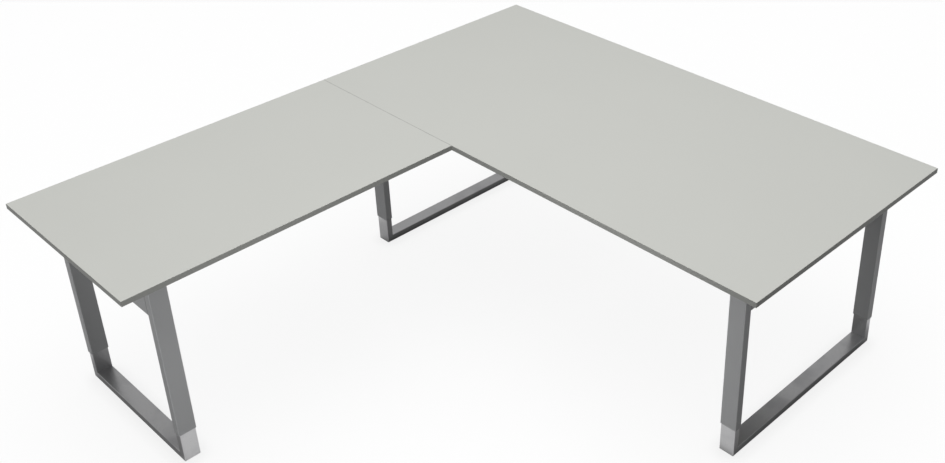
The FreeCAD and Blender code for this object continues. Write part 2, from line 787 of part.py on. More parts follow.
def build():
    """Make every piece of the desk and give them in one list."""
    bush, plug, nut = make_guide_bush(), make_post_plug(), make_glide_nut()
    nodes = make_worktops()
    for frame in FRAMES:
        nodes += make_upper_frame(frame, bush)
        nodes += make_sled(frame, plug, nut)
    nodes += make_beams()
    nodes += make_tabs()
    nodes += make_seam_plates()
    nodes += make_beam_bolts()
    nodes += make_clamps()
    nodes.append(make_top_screws())
    doc.recompute()
    return nodes


def check(nodes):
    """Stop before anything is written if a feature failed or a piece is not a sound solid."""
    failed = [item.Name for item in doc.Objects if {"Invalid", "Error"} & set(item.State)]
    unsound = [node.Label for node in nodes if node.Shape.isNull() or not node.Shape.isValid()]
    if failed or unsound:
        raise RuntimeError(f"failed features {failed}, unsound pieces {unsound}")


pieces = build()
check(pieces)
os.makedirs("parts", exist_ok=True)
for piece in pieces:
    piece.Shape.exportStep(f"parts/{piece.Label}.step")
    print(piece.Label, len(piece.Shape.Solids), round(piece.Shape.Volume))
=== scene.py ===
"""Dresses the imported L-shaped desk in a plain studio.

The solids get their finishes, and the small pieces that they leave plain are added.
"""

import logging
import math
from abc import ABC, abstractmethod
from collections.abc import Iterator, Mapping, Sequence
from dataclasses import dataclass
from enum import Enum

import bmesh
import bpy
import numpy as np
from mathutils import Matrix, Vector


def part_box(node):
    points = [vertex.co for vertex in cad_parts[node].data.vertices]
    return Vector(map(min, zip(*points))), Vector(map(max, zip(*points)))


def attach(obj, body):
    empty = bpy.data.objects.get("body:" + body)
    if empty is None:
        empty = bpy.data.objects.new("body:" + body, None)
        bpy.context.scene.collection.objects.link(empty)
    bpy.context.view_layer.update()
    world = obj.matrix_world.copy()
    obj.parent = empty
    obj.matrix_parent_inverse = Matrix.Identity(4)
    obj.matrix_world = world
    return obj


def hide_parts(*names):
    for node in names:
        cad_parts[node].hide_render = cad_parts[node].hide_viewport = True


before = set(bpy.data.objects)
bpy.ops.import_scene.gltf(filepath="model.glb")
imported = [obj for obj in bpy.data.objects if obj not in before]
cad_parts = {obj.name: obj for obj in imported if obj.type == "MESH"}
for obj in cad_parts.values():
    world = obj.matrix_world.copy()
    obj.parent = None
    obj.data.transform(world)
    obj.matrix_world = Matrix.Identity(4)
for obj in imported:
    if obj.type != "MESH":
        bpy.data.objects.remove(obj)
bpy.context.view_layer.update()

LOG = logging.getLogger("desk")
TABLE_BODY = "worktops_and_upper_frames"
MERGE_DISTANCE = 1e-6
SHARP_ANGLE = math.radians(38)

Colour = tuple[float, float, float, float]
Pair = tuple[float, float]
Triple = tuple[float, float, float]

EVEN: Triple = (1.0, 1.0, 1.0)

# The display curve is straight below its knee and a power above it.
CURVE_KNEE = 0.04045
CURVE_SLOPE = 12.92
CURVE_OFFSET = 0.055
CURVE_POWER = 2.4


class Axis(Enum):
    """The six directions of the desk's frame."""

    PLUS_X = (1.0, 0.0, 0.0)
    MINUS_X = (-1.0, 0.0, 0.0)
    PLUS_Y = (0.0, 1.0, 0.0)
    MINUS_Y = (0.0, -1.0, 0.0)
    PLUS_Z = (0.0, 0.0, 1.0)
    MINUS_Z = (0.0, 0.0, -1.0)

    @property
    def vector(self) -> np.ndarray:
        """Give the direction as an array."""
        return np.array(self.value)

    @property
    def opposite(self) -> "Axis":
        """Give the direction that points the other way."""
        return Axis(tuple(-part + 0.0 for part in self.value))


def screen(red: int, green: int, blue: int) -> Colour:
    """Turn an 8-bit screen colour into a linear one by undoing the display curve.

    Args:
        red: red from 0 to 255.
        green: green from 0 to 255.
        blue: blue from 0 to 255.

    Returns:
        The linear colour with full alpha.
    """
    share = np.array([red, green, blue]) / 255
    curved = ((share + CURVE_OFFSET) / (1 + CURVE_OFFSET)) ** CURVE_POWER
    linear = np.where(share <= CURVE_KNEE, share / CURVE_SLOPE, curved)
    return (*linear.tolist(), 1.0)


class Socket:
    """One value in a node tree. Arithmetic on it adds Math nodes."""

    def __init__(self, tree: "NodeTree", output: bpy.types.NodeSocket) -> None:
        """Keep the tree and the output socket."""
        self.tree = tree
        self.output = output

    def math(self, operation: str, *terms: "Socket | float") -> "Socket":
        """Add a Math node of this operation on these terms."""
        return self.tree.add("ShaderNodeMath", {"operation": operation}, dict(enumerate(terms)))

    def sibling(self, name: str) -> "Socket":
        """Give another output of the same node."""
        return Socket(self.tree, self.output.node.outputs[name])

    def __add__(self, other: "Socket | float") -> "Socket":
        """Add a value."""
        return self.math("ADD", self, other)

    __radd__ = __add__

    def __sub__(self, other: "Socket | float") -> "Socket":
        """Take a value away."""
        return self.math("SUBTRACT", self, other)

    def __rsub__(self, other: float) -> "Socket":
        """Take this away from a number."""
        return self.math("SUBTRACT", other, self)

    def __mul__(self, other: "Socket | float") -> "Socket":
        """Multiply by a value."""
        return self.math("MULTIPLY", self, other)

    __rmul__ = __mul__

    def __pow__(self, power: float) -> "Socket":
        """Raise to a power."""
        return self.math("POWER", self, power)

    def mean(self, other: "Socket", share: float) -> "Socket":
        """Give this share of the value and the rest of another one."""
        return self * share + other * (1 - share)

    def above(self, low: float, high: float) -> "Socket":
        """Give a smooth step.

        Args:
            low: the value up to which it is 0.
            high: the value from which it is 1.

        Returns:
            The step from 0 to 1.
        """
        limits = {"From Min": low, "From Max": high}
        settings = {"interpolation_type": "SMOOTHSTEP"}
        return self.tree.add("ShaderNodeMapRange", settings, {"Value": self, **limits})


class NodeTree:
    """Builds the nodes of one material or of the world."""

    def __init__(self, tree: bpy.types.NodeTree) -> None:
        """Empty the tree."""
        self.tree = tree
        tree.nodes.clear()

    def add(
        self,
        kind: str,
        settings: Mapping[str, object] | None = None,
        sockets: Mapping[str | int, object] | None = None,
        output: str | int = 0,
    ) -> Socket:
        """Add one node.

        Args:
            kind: the node's type.
            settings: the node's own properties, which are set first.
            sockets: a value or a Socket for each input, by name or number.
            output: the output that is given back.

        Returns:
            The node's output as a Socket.
        """
        node = self.tree.nodes.new(kind)
        for name, value in (settings or {}).items():
            setattr(node, name, value)
        for name, value in (sockets or {}).items():
            if isinstance(value, Socket):
                self.tree.links.new(value.output, node.inputs[name])
            else:
                node.inputs[name].default_value = value
        return Socket(self, node.outputs[output])

    def finish(self, kind: str, shader: Socket) -> None:
        """Link a shader to a new output node."""
        node = self.tree.nodes.new(kind)
        self.tree.links.new(shader.output, node.inputs["Surface"])

    def place(self, stretch: Triple = EVEN) -> Socket:
        """Give the Object coordinates.

        Args:
            stretch: what each axis is multiplied by.

        Returns:
            The place in metres, stretched.
        """
        place = self.add("ShaderNodeTexCoord", output="Object")
        if stretch == EVEN:
            return place
        return self.add("ShaderNodeMapping", None, {"Vector": place, "Scale": stretch})

    def noise(self, place: Socket, scale: float, detail: float) -> Socket:
        """Give a cloudy value from 0 to 1 with this many clouds in a metre."""
        return self.add("ShaderNodeTexNoise", None, {"Vector": place, "Scale": scale, "Detail": detail})

    def corners(self, low: float, high: float) -> Socket:
        """Mark rounded corners: where the normal's largest part is well under 1.

        Args:
            low: how far under 1 that part is where the mark starts.
            high: how far under 1 it is where the mark is full.

        Returns:
            1 on rounded corners and 0 on faces square to an axis.
        """
        normal = self.add("ShaderNodeNewGeometry", output="Normal")
        first = self.add("ShaderNodeSeparateXYZ", None, {"Vector": normal}, "X")
        parts = (first, first.sibling("Y"), first.sibling("Z"))
        x, y, z = (part.math("ABSOLUTE", part) for part in parts)
        largest = x.math("MAXIMUM", x.math("MAXIMUM", x, y), z)
        return (1 - largest).above(low, high)

    def mix(self, share: Socket, first: Colour, second: Colour | Socket) -> Socket:
        """Mix two colours."""
        settings = {"data_type": "RGBA"}
        return self.add("ShaderNodeMix", settings, {0: share, 6: first, 7: second}, output=2)


Layers = tuple[Socket, Socket, Socket]


@dataclass(frozen=True)
class Finish(ABC):
    """A surface finish. It belongs to one slot of the record.

    Scales are in clouds a metre. A bump has a depth in metres and a strength. Values whose names
    end in rough add to the roughness.
    """

    name: str
    slot: str
    light: Colour
    dark: Colour
    rough: float
    bump: Pair
    metal: float = 0.0
    specular: float = 0.5

    @abstractmethod
    def layers(self, tree: NodeTree) -> Layers:
        """Give the colour, what adds to the roughness, and the height of the bump."""

    def material(self) -> bpy.types.Material:
        """Make the finish's material once.

        Returns:
            The new material, or the one made before.
        """
        made = bpy.data.materials.get(self.name)
        if made is None:
            made = bpy.data.materials.new(self.name)
            made.use_nodes = True
            tree = NodeTree(made.node_tree)
            colour, rough, height = self.layers(tree)
            depth, strength = self.bump
            bump = {"Height": height, "Distance": depth, "Strength": strength}
            sockets = {
                "Base Color": colour,
                "Metallic": self.metal,
                "Roughness": self.rough + rough,
                "Normal": tree.add("ShaderNodeBump", None, bump),
                "Specular IOR Level": self.specular,
            }
            shader = tree.add("ShaderNodeBsdfPrincipled", None, sockets)
            tree.finish("ShaderNodeOutputMaterial", shader)
        return made


@dataclass(frozen=True)
class Laminate(Finish):
    """Matt melamine: a fine fleck, a faint cloud over the sheet, and a pearl grain."""

    rough: float = 0.5
    bump: Pair = (0.00006, 0.5)
    specular: float = 0.35
    fleck_scale: float = 850.0
    fleck_share: float = 0.7
    cloud_scale: float = 2.6
    grain_scale: float = 520.0
    grain_rough: float = 0.12

    def layers(self, tree: NodeTree) -> Layers:
        """Let fleck and cloud set the colour, and the grain the roughness and the bump.

        Args:
            tree: the material's nodes.

        Returns:
            The colour, the roughness and the bump.
        """
        place = tree.place()
        fleck = tree.noise(place, self.fleck_scale, detail=1.0)
        cloud = tree.noise(place, self.cloud_scale, detail=3.0)
        grain = tree.noise(place, self.grain_scale, detail=2.0)
        colour = tree.mix(fleck.mean(cloud, self.fleck_share), self.dark, self.light)
        return colour, self.grain_rough * grain, grain


@dataclass(frozen=True)
class EdgeBand(Finish):
    """Matt plastic edging: drawn lines along the edge and a light grain."""

    rough: float = 0.42
    bump: Pair = (0.00005, 0.5)
    bump_share: float = 0.5
    specular: float = 0.4
    line_scale: float = 1400.0
    line_share: float = 0.6
    line_stretch: Triple = (0.004, 0.004, 1.0)
    grain_scale: float = 900.0
    grain_rough: float = 0.14

    def layers(self, tree: NodeTree) -> Layers:
        """Let lines that hardly change along the edge, and a grain, set the colour and the bump.

        Args:
            tree: the material's nodes.

        Returns:
            The colour, the roughness and the bump.
        """
        lines = tree.noise(tree.place(self.line_stretch), self.line_scale, detail=1.0)
        grain = tree.noise(tree.place(), self.grain_scale, detail=1.0)
        colour = tree.mix(lines.mean(grain, self.line_share), self.dark, self.light)
        return colour, self.grain_rough * grain, lines.mean(grain, self.bump_share)


@dataclass(frozen=True)
class SilverPaint(Finish):
    """Satin silver powder coat: metal flakes in a skin with a slight orange peel; corners lighter,
    partly wear and partly a painted highlight.
    """

    rough: float = 0.34
    bump: Pair = (0.00008, 0.6)
    specular: float = 0.3
    metal: float = 0.04
    flake_scale: float = 1900.0
    flake_share: float = 0.75
    flake_rough: float = 0.10
    cloud_scale: float = 9.0
    cloud_rough: float = 0.05
    peel_scale: float = 260.0
    # Corner colour: partly wear of the thin coat, partly a painted highlight on the rounded arrises.
    worn_and_highlight: Colour = screen(216, 217, 218)
    worn_and_highlight_limits: Pair = (0.03, 0.2)

    def layers(self, tree: NodeTree) -> Layers:
        """Let flakes and a cloud set the colour and gloss, lighten corners for wear and a painted
        highlight, and peel set the bump.

        Args:
            tree: the material's nodes.

        Returns:
            The colour, the roughness and the bump.
        """
        place = tree.place()
        flake = tree.noise(place, self.flake_scale, detail=0.0)
        peel = tree.noise(place, self.peel_scale, detail=1.0)
        cloud = tree.noise(place, self.cloud_scale, detail=2.0)
        coat = tree.mix(flake.mean(cloud, self.flake_share), self.dark, self.light)
        # Corners lightened: partly wear of the thin coat, partly a painted highlight where the rounded
        # arrises catch light.
        colour = tree.mix(1 - tree.corners(*self.worn_and_highlight_limits), self.worn_and_highlight, coat)
        return colour, self.flake_rough * flake + self.cloud_rough * cloud, peel


@dataclass(frozen=True)
class Chrome(Finish):
    """Polished chrome on drawn tube: faint smears, and hair lines along the tube."""

    rough: float = 0.26
    bump: Pair = (0.00001, 0.25)
    metal: float = 1.0
    smear_scale: float = 11.0
    smear_limits: Pair = (0.42, 0.72)
    smear_rough: float = 0.10
    line_scale: float = 900.0
    line_stretch: Triple = (1.0, 1.0, 0.02)
    line_rough: float = 0.04

    def layers(self, tree: NodeTree) -> Layers:
        """Let smears dull the colour and the gloss, and the hair lines set the bump.

        Args:
            tree: the material's nodes.

        Returns:
            The colour, the roughness and the bump.
        """
        smear = tree.noise(tree.place(), self.smear_scale, detail=4.0).above(*self.smear_limits)
        lines = tree.noise(tree.place(self.line_stretch), self.line_scale, detail=1.0)
        rough = self.smear_rough * smear + self.line_rough * lines
        return tree.mix(smear, self.light, self.dark), rough, lines


@dataclass(frozen=True)
class Zinc(Finish):
    """Bright zinc plate: small crystals of two greys, and a dull bloom."""

    rough: float = 0.24
    bump: Pair = (0.00004, 0.4)
    metal: float = 1.0
    crystal_scale: float = 420.0
    crystal_share: float = 0.6
    bloom_scale: float = 60.0
    bloom_rough: float = 0.24

    def layers(self, tree: NodeTree) -> Layers:
        """Let crystals set the colour and the bump, and the bloom the gloss.

        Args:
            tree: the material's nodes.

        Returns:
            The colour, the roughness and the bump.
        """
        place = tree.place()
        sockets = {"Vector": place, "Scale": self.crystal_scale}
        crystal = tree.add("ShaderNodeTexVoronoi", {"feature": "F1"}, sockets, "Distance")
        bloom = tree.noise(place, self.bloom_scale, detail=3.0)
        colour = tree.mix(crystal.mean(bloom, self.crystal_share), self.light, self.dark)
        return colour, self.bloom_rough * bloom, crystal


@dataclass(frozen=True)
class Nylon(Finish):
    """Black moulded nylon: a spark-eroded grain and grey patches of wear."""

    rough: float = 0.46
    bump: Pair = (0.00008, 0.6)
    grain_scale: float = 1100.0
    grain_rough: float = 0.18
    patch_scale: float = 45.0
    patch_limits: Pair = (0.45, 0.8)

    def layers(self, tree: NodeTree) -> Layers:
        """Let patches set the colour, and the grain the gloss and the bump.

        Args:
            tree: the material's nodes.

        Returns:
            The colour, the roughness and the bump.
        """
        place = tree.place()
        grain = tree.noise(place, self.grain_scale, detail=1.0)
        patch = tree.noise(place, self.patch_scale, detail=3.0).above(*self.patch_limits)
        return tree.mix(patch, self.dark, self.light), self.grain_rough * grain, grain


LAMINATE = Laminate(
    "pale_grey_melamine", "worktop_laminate", screen(204, 205, 200), screen(196, 197, 192)
)
BAND = EdgeBand("grey_edge_band", "edge_band", screen(166, 167, 163), screen(156, 157, 153))
SILVER = SilverPaint("satin_silver_coat", "silver_paint", screen(195, 196, 197), screen(181, 182, 183))
CHROME = Chrome("polished_chrome", "chrome", screen(226, 226, 227), screen(214, 214, 216))
ZINC = Zinc("bright_zinc_plate", "zinc", screen(200, 202, 206), screen(158, 160, 164))
NYLON = Nylon("black_moulded_nylon", "black_plastic", screen(58, 58, 60), screen(30, 30, 31))


def angles(columns: int) -> np.ndarray:
    """Give the angles of a ring's columns, as one row."""
    return np.linspace(0, 2 * np.pi, columns, endpoint=False)[None, :]


def column(*values: float) -> np.ndarray:
    """Give values as one column, one for each row of a surface."""
    return np.array(values)[:, None]


def stack(columns: int, *parts: float | np.ndarray) -> np.ndarray:
    """Stack numbers, rows and blocks of rows, from the first row on, each spread over the columns."""
    blocks = [np.atleast_2d(part) for part in parts]
    return np.concatenate([np.broadcast_to(block, (len(block), columns)) for block in blocks])


def spin(radius: np.ndarray, height: np.ndarray, columns: int) -> np.ndarray:
    """Turn a profile about the Z axis.

    The point of a row and column stands at the column's angle, at the row's radius from the axis
    and at the row's height. Both may also change with the angle. A profile that runs from the
    axis below, outwards, up and back to the axis above has its faces outwards.

    Args:
        radius: the distances from the axis, in rows, or in rows and columns.
        height: the heights, in rows, or in rows and columns.
        columns: how many steps a turn has.

    Returns:
        The points in rows, columns and coordinates.
    """
    turn = angles(columns)
    parts = radius * np.cos(turn), radius * np.sin(turn), height + 0 * turn
    return np.stack(np.broadcast_arrays(*parts), axis=-1)


def hexagon(width: float, columns: int) -> np.ndarray:
    """Give a hexagon's radius: half its width over the cosine of the angle from the flat's middle."""
    step = np.mod(angles(columns) + np.pi / 6, np.pi / 3) - np.pi / 6
    return width / 2 / np.cos(step)


def cross(arm: float, core: float, columns: int, sharpness: int = 7) -> np.ndarray:
    """Give a four-armed radius: the core, and up to the arm by a power of the double angle's cosine."""
    return core + (arm - core) * np.abs(np.cos(2 * angles(columns))) ** sharpness


def thread(radius: float, depth: float, pitch: float, height: np.ndarray, columns: int) -> np.ndarray:
    """Give a screw thread's radius: a triangle wave that climbs by one pitch in a turn."""
    phase = np.mod(height / pitch - angles(columns) / (2 * np.pi), 1.0)
    return radius - depth * np.abs(2 * phase - 1)


def set_out(shape: np.ndarray, spots: Sequence[Sequence[float]], axis: Axis) -> np.ndarray:
    """Copy a shape to several spots, with its own Z axis along a direction.

    Args:
        shape: points in rows, columns and coordinates.
        spots: where the shape's origin goes.
        axis: where the shape's Z axis points.

    Returns:
        The points in copies, rows, columns and coordinates.
    """
    ahead = axis.vector
    side = np.roll(ahead, 1)
    turned = shape @ np.stack([side, np.cross(ahead, side), ahead])
    return turned[None] + np.array(spots, dtype=float)[:, None, None, :]


def ring_faces(copies: int, rows: int, columns: int) -> np.ndarray:
    """Join neighbouring rows of closed rings by faces.

    Args:
        copies: how many shells there are.
        rows: how many rings a shell has.
        columns: how many points a ring has.

    Returns:
        The four corners of each face, as numbers of points.
    """
    corner = np.arange(copies * rows * columns).reshape(copies, rows, columns)
    ahead = np.roll(corner, -1, axis=2)
    corners = [corner[:, :-1], ahead[:, :-1], ahead[:, 1:], corner[:, 1:]]
    return np.stack(corners, axis=-1).reshape(-1, 4)


def make_piece(
    name: str, shells: Sequence[np.ndarray], finish: Finish, body: str, *replaced: str
) -> None:
    """Make one piece from closed shells, and merge its poles.

    Args:
        name: the piece's name.
        shells: arrays of copies, rows, columns and coordinates. Each row is a closed ring.
        finish: the piece's finish.
        body: the CAD body that it rides on.
        replaced: the CAD nodes that it stands for.
    """
    faces, points, start = [], [], 0
    for shell in shells:
        faces.append(ring_faces(*shell.shape[:3]) + start)
        points.append(shell.reshape(-1, 3))
        start += len(points[-1])
    mesh = bpy.data.meshes.new(name)
    mesh.from_pydata(np.concatenate(points).tolist(), [], np.concatenate(faces).tolist())
    merged = bmesh.new()
    merged.from_mesh(mesh)
    bmesh.ops.remove_doubles(merged, verts=merged.verts, dist=MERGE_DISTANCE)
    merged.to_mesh(mesh)
    merged.free()
    mesh.shade_smooth()
    mesh.set_sharp_from_angle(angle=SHARP_ANGLE)
    mesh.materials.append(finish.material())
    piece = bpy.data.objects.new(name, mesh)
    bpy.context.scene.collection.objects.link(piece)
    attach(piece, body)
    if replaced:
        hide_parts(*replaced)
    LOG.info("%s: %d faces, rides on %s", name, len(mesh.polygons), body)


def dress(finish: Finish, *nodes: str) -> None:
    """Give CAD nodes a finish.

    Args:
        finish: the finish.
        nodes: the names of the nodes.
    """
    for node in nodes:
        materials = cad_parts[node].data.materials
        materials.clear()
        materials.append(finish.material())
        LOG.info("%s: %s", node, finish.name)


def middle_of(node: str) -> np.ndarray:
    """Give the middle of a CAD node's box."""
    low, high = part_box(node)
    return np.array((low + high) / 2)


def low_of(node: str) -> np.ndarray:
    """Give the lowest corner of a CAD node's box."""
    return np.array(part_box(node)[0])


def high_of(node: str) -> np.ndarray:
    """Give the highest corner of a CAD node's box."""
    return np.array(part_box(node)[1])


def half_of(node: str) -> np.ndarray:
    """Give half the size of a CAD node's box."""
    return (high_of(node) - low_of(node)) / 2


def under(node: str) -> np.ndarray:
    """Give the middle of the underside of a CAD node's box."""
    return np.array([*middle_of(node)[:2], low_of(node)[2]])


@dataclass
class WeldBead:
    """A weld laid in an inner corner in short overlapping steps."""

    radius: float = 0.0026
    sink: float = 0.0006
    step: float = 0.0023
    ripple: float = 0.16
    tip_share: float = 0.001  # of the sink, at both ends
    rows_in_step: int = 5
    columns: int = 9

    def run(
        self, spots: Sequence[Sequence[float]], first: Axis, second: Axis, length: float
    ) -> np.ndarray:
        """Lay straight beads.

        A bead is a quarter circle from one wall to the other, closed through a point a little
        inside the corner. Its radius rises and falls with each step of the weld, and falls to
        nothing at both ends.

        Args:
            spots: the middle of each bead, on the corner line.
            first: the direction from the corner along one wall.
            second: the direction from the corner along the other wall.
            length: how long the beads are.

        Returns:
            The points in copies, rows, columns and coordinates.
        """
        steps = max(2, round(length / self.step))
        share = np.linspace(0, 1, steps * self.rows_in_step + 1)[:, None]
        wave = 1 - self.ripple * np.mod(share * steps, 1.0) ** 2
        ends = np.clip(np.minimum(share, 1 - share) * length / self.radius, 0, 1)
        swell = self.radius * wave * np.sqrt(1 - (1 - ends) ** 2)
        turn = np.linspace(0, np.pi / 2, self.columns - 1)[None, :]
        arc = np.stack(np.broadcast_arrays(swell * np.cos(turn), swell * np.sin(turn)), axis=-1)
        root = np.full((len(share), 1, 2), -self.sink) * np.clip(ends, self.tip_share, 1)[..., None]
        outline = np.concatenate([root, arc], axis=1)
        walls = np.stack([first.vector, second.vector])
        along = np.cross(*walls)
        shape = outline @ walls + ((share - 0.5) * length)[..., None] * along
        return shape[None] + np.array(spots, dtype=float)[:, None, None, :]

    def collar(self, spots: Sequence[Sequence[float]], axis: Axis, inner: float) -> np.ndarray:
        """Lay beads round bosses: the same quarter circle, turned about each boss's axis.

        Args:
            spots: the middle of each boss, on the wall.
            axis: where the bosses point.
            inner: the bosses' radius.

        Returns:
            The points in copies, rows, columns and coordinates.
        """
        turn = np.linspace(0, np.pi / 2, self.columns - 1)[:, None]
        steps = round(2 * np.pi * inner / self.step)
        columns = steps * self.rows_in_step
        wave = 1 - self.ripple * np.mod(angles(columns) / (2 * np.pi) * steps, 1.0) ** 2
        swell = self.radius * wave
        root = inner - self.sink
        radius = stack(columns, root, inner + swell * np.cos(turn), root)
        height = stack(columns, -self.sink, swell * np.sin(turn), -self.sink)
        return set_out(spin(radius, height, columns), spots, axis)


@dataclass
class Worktops:
    """The main worktop and the return: boards in their edge bands."""

    tops: tuple[str, ...] = ("main", "return")

    def dress(self) -> None:
        """Give the boards their melamine and the bands their plastic."""
        dress(LAMINATE, *(f"{top}_top_board" for top in self.tops))
        dress(BAND, *(f"{top}_top_edge_band" for top in self.tops))


@dataclass
class UpperFrame:
    """Two leg sleeves, a cross rail and two mounting plates, welded together."""

    name: str
    ends: tuple[str, str]
    along: Axis
    across: Axis
    clamp_side: Axis
    plate_bead_length: float = 0.098
    rail_bead_length: float = 0.046
    clamp_heights: Pair = (0.170, 0.230)
    clamp_boss_radius: float = 0.007

    @property
    def plates(self) -> list[str]:
        """Give the names of the mounting plates."""
        return [f"{self.name}_{end}_mounting_plate" for end in self.ends]

    @property
    def sleeves(self) -> list[str]:
        """Give the names of the leg sleeves."""
        return [f"{self.name}_{end}_sleeve" for end in self.ends]

    def dress(self) -> None:
        """Paint the frame silver and leave the guide bushes black."""
        dress(SILVER, f"{self.name}_cross_rail", *self.sleeves, *self.plates)
        dress(NYLON, f"{self.name}_guide_bushes")

    def clamp_spots(self) -> list[np.ndarray]:
        """Find where the clamp screws leave the sleeves' wide walls.

        Returns:
            The points, two on each sleeve.
        """
        spots = []
        for sleeve in self.sleeves:
            wall = middle_of(sleeve) + self.clamp_side.vector * half_of(sleeve)
            spots += [np.array([*wall[:2], height]) for height in self.clamp_heights]
        return spots

    def weld(self, bead: WeldBead) -> None:
        """Lay the beads under the rail's ends, along the plates and round the clamp bosses.

        Args:
            bead: the kind of weld.
        """
        rail = f"{self.name}_cross_rail"
        ahead, up = np.abs(self.along.vector), Axis.PLUS_Z.vector
        foot = under(rail) * (1 - ahead)
        start, stop = foot + low_of(rail) * ahead, foot + high_of(rail) * ahead
        shells = [
            bead.run([start], self.along, Axis.MINUS_Z, self.rail_bead_length),
            bead.run([stop], self.along.opposite, Axis.MINUS_Z, self.rail_bead_length),
            bead.collar(self.clamp_spots(), self.clamp_side, self.clamp_boss_radius),
        ]
        for side in (self.across, self.across.opposite):
            wall = (middle_of(rail) + side.vector * half_of(rail)) * np.abs(side.vector)
            spots = [middle_of(plate) * ahead + wall + low_of(plate) * up for plate in self.plates]
            shells.append(bead.run(spots, side, Axis.MINUS_Z, self.plate_bead_length))
        make_piece(f"{self.name}_frame_welds", shells, SILVER, TABLE_BODY)


@dataclass
class Sled:
    """A floor runner and two posts that slide in the sleeves, on two levelling glides."""

    name: str
    ends: tuple[str, str]
    foot_radius: float = 0.016
    foot_height: float = 0.003
    foot_edge: float = 0.0008
    foot_hollow: float = 0.0002
    foot_columns: int = 168
    grip_depth: float = 0.0005
    grips: int = 28
    sole_inset: float = 2.5  # in edges
    edge_cut: float = 0.3  # in edges
    shoulder_share: float = 0.62  # of the foot's height
    seat_share: float = 0.6  # of the foot's height, where the stud starts
    hub_share: float = 1.7  # of the stud's radius
    hub_flare: float = 1.15  # of the hub's radius
    stud_radius: float = 0.004
    stud_depth: float = 0.0006
    stud_pitch: float = 0.00125
    stud_tip_share: float = 0.9  # of the thread's core
    stud_columns: int = 28
    stud_rows_in_pitch: int = 6

    def dress(self) -> None:
        """Leave the runner and posts chromed, the plugs black and the glide nuts zinc."""
        dress(CHROME, f"{self.name}_runner", *(f"{self.name}_{end}_post" for end in self.ends))
        dress(NYLON, f"{self.name}_post_plugs")
        dress(ZINC, f"{self.name}_glide_nuts")

    def foot_shape(self) -> np.ndarray:
        """Shape a glide's foot: a disc whose rim is scalloped by a cosine, with rounded edges.

        Returns:
            The points in rows, columns and coordinates, with the sole at the origin.
        """
        columns, edge, top = self.foot_columns, self.foot_edge, self.foot_height
        rim = self.foot_radius - self.grip_depth * (0.5 - 0.5 * np.cos(self.grips * angles(columns)))
        cut, hub = self.edge_cut * edge, self.hub_share * self.stud_radius
        shoulder = self.shoulder_share * top
        radius = stack(
            columns, 0, rim - self.sole_inset * edge, rim - edge, rim - cut, rim,
            rim, rim - cut, rim - edge, hub * self.hub_flare, hub, 0,
        )
        height = column(
            self.foot_hollow, 0, 0, cut, edge,
            shoulder, shoulder + edge - cut, shoulder + edge, shoulder + edge, top, top,
        )
        return spin(radius, height, columns)

    def stud_shape(self, length: float) -> np.ndarray:
        """Shape a glide's stud: a thread that fades into a turned tip over its last pitch.

        Args:
            length: how long the stud is.

        Returns:
            The points in rows, columns and coordinates, with the lower end at the origin.
        """
        columns = self.stud_columns
        count = round(length / self.stud_pitch * self.stud_rows_in_pitch)
        height = np.linspace(0, length, count)[:, None]
        wall = thread(self.stud_radius, self.stud_depth, self.stud_pitch, height, columns)
        fade = np.clip((length - height) / self.stud_pitch, 0, 1)
        tip = (self.stud_radius - self.stud_depth) * self.stud_tip_share
        radius = stack(columns, 0, tip + (wall - tip) * fade, 0)
        return spin(radius, stack(columns, 0, height, length), columns)

    def build(self) -> None:
        """Make the two glides' feet and studs."""
        for end in self.ends:
            node = f"{self.name}_{end}_glide"
            foot = set_out(self.foot_shape(), [under(node)], Axis.PLUS_Z)
            make_piece(f"{node}_foot", [foot], NYLON, node, node)
            seat = under(node) + Axis.PLUS_Z.vector * self.foot_height * self.seat_share
            stud = set_out(self.stud_shape(high_of(node)[2] - seat[2]), [seat], Axis.PLUS_Z)
            make_piece(f"{node}_stud", [stud], ZINC, node)


